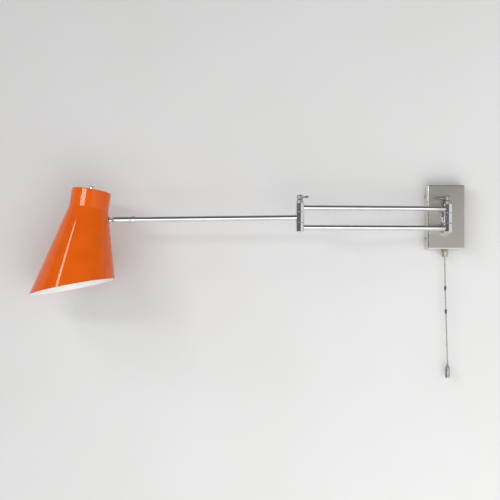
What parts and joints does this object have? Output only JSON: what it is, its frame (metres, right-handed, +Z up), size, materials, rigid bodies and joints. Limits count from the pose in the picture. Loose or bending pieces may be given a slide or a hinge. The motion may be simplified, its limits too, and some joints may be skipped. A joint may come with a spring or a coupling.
{
  "type": "accordion wall lamp",
  "caption": "Wall lamp with a flat wall box, a double arm and a single arm joined by clamping knuckles, a tilting flared shade and a pull chain.",
  "frame": {"origin": "centre of the box's back face, on the wall", "axes": "+Z up, -Y out of the wall, -X along the arms towards the shade"},
  "size_m": [0.8097, 0.1685, 0.3615],
  "materials": {
    "plate_metal": "satin nickel plate",
    "chrome": "polished chrome plate",
    "zinc": "bright zinc plate",
    "nickel_warm": "nickel-plated brass, polished",
    "brass": "machined brass",
    "enamel_orange": "gloss enamel outside, white enamel inside",
    "nylon": "grey nylon",
    "dull_nickel": "dull nickel plate",
    "holder_plastic": "black moulded lampholder plastic",
    "terminal_plastic": "white moulded plastic",
    "rubber": "black rubber",
    "lead_insulation": "clear-white insulated lead",
    "frosted_glass": "inside-frosted glass"
  },
  "bodies": {
    "wall_box": {"box_cover": "plate_metal", "mounting_plate": "zinc", "cover_screws": "zinc", "cable_grommet": "rubber", "base_hub": "chrome", "stem_rosette": "chrome", "stem_lock_washer": "zinc", "stem_nut": "brass", "pull_switch": "holder_plastic", "nozzle_nut": "nickel_warm", "switch_nozzle": "nickel_warm", "terminal_block": "terminal_plastic", "switch_leads": "lead_insulation", "base_washers": "nylon"},
    "base_clamp": {"base_clamp_screw": "chrome", "base_clamp_lever": "chrome"},
    "inner_arm": {"upper_base_barrel": "chrome", "lower_base_barrel": "chrome", "upper_outer_barrel": "chrome", "lower_outer_barrel": "chrome", "upper_tube": "chrome", "lower_tube": "chrome", "inner_arm_lead": "lead_insulation", "outer_washers": "nylon", "base_clamp_washer": "zinc", "outer_clamp_washer": "zinc"},
    "outer_clamp": {"outer_clamp_screw": "chrome", "outer_clamp_lever": "chrome"},
    "outer_arm": {"outer_hub": "chrome", "outer_tube": "chrome", "outer_arm_lead": "lead_insulation", "swivel_collar": "chrome"},
    "swivel": {"swivel_sleeve": "chrome", "ball_seat": "nylon"},
    "ball": {"swivel_ball": "chrome"},
    "shade": {"shade": "enamel_orange", "swivel_stud": "chrome", "stud_nut": "zinc", "holder_nipple": "zinc", "shade_finial": "chrome", "holder_washer": "zinc", "lampholder": "holder_plastic", "holder_ring": "holder_plastic", "contact_shell": "brass", "centre_contact": "brass", "bulb_cap": "zinc", "bulb_glass": "frosted_glass"},
    "chain": {"chain_top": "dull_nickel", "upper_chain_coupling": "dull_nickel", "chain_middle": "dull_nickel", "lower_chain_coupling": "dull_nickel", "chain_bottom": "dull_nickel", "pull_weight": "dull_nickel"}
  },
  "joints": [
    {"name": "inner_arm_swing", "type": "hinge", "parent": "wall_box", "child": "inner_arm", "pos_m": [0, -0.045, -0.004], "axis": [0, 0, 1], "range_deg": [-8, 160]},
    {"name": "base_clamp_turn", "type": "hinge", "parent": "wall_box", "child": "base_clamp", "pos_m": [0, -0.045, -0.004], "axis": [0, 0, 1], "range_deg": [-15, 195]},
    {"name": "outer_arm_swing", "type": "hinge", "parent": "inner_arm", "child": "outer_arm", "pos_m": [-0.27969, -0.09432, -0.00797], "axis": [0, 0, 1], "range_deg": [-125, 145]},
    {"name": "outer_clamp_turn", "type": "hinge", "parent": "outer_arm", "child": "outer_clamp", "pos_m": [-0.27969, -0.09432, -0.00797], "axis": [0, 0, 1], "range_deg": [-90, 90]},
    {"name": "swivel_roll", "type": "hinge", "parent": "outer_arm", "child": "swivel", "pos_m": [-0.61716, -0.09432, -0.01197], "axis": [-0.9999, 0, -0.0119], "range_deg": [-100, 100]},
    {"name": "shade_swing", "type": "hinge", "parent": "swivel", "child": "ball", "pos_m": [-0.61716, -0.09432, -0.01197], "axis": [0, 0, 1], "range_deg": [-26, 26]},
    {"name": "shade_tilt", "type": "hinge", "parent": "ball", "child": "shade", "pos_m": [-0.61716, -0.09432, -0.01197], "axis": [0, 1, 0], "range_deg": [-20, 24]},
    {"name": "chain_pull", "type": "slide", "parent": "wall_box", "child": "chain", "axis": [0, 0, -1], "range_m": [0, 0.008], "stiffness_N_per_m": 800}
  ]
}
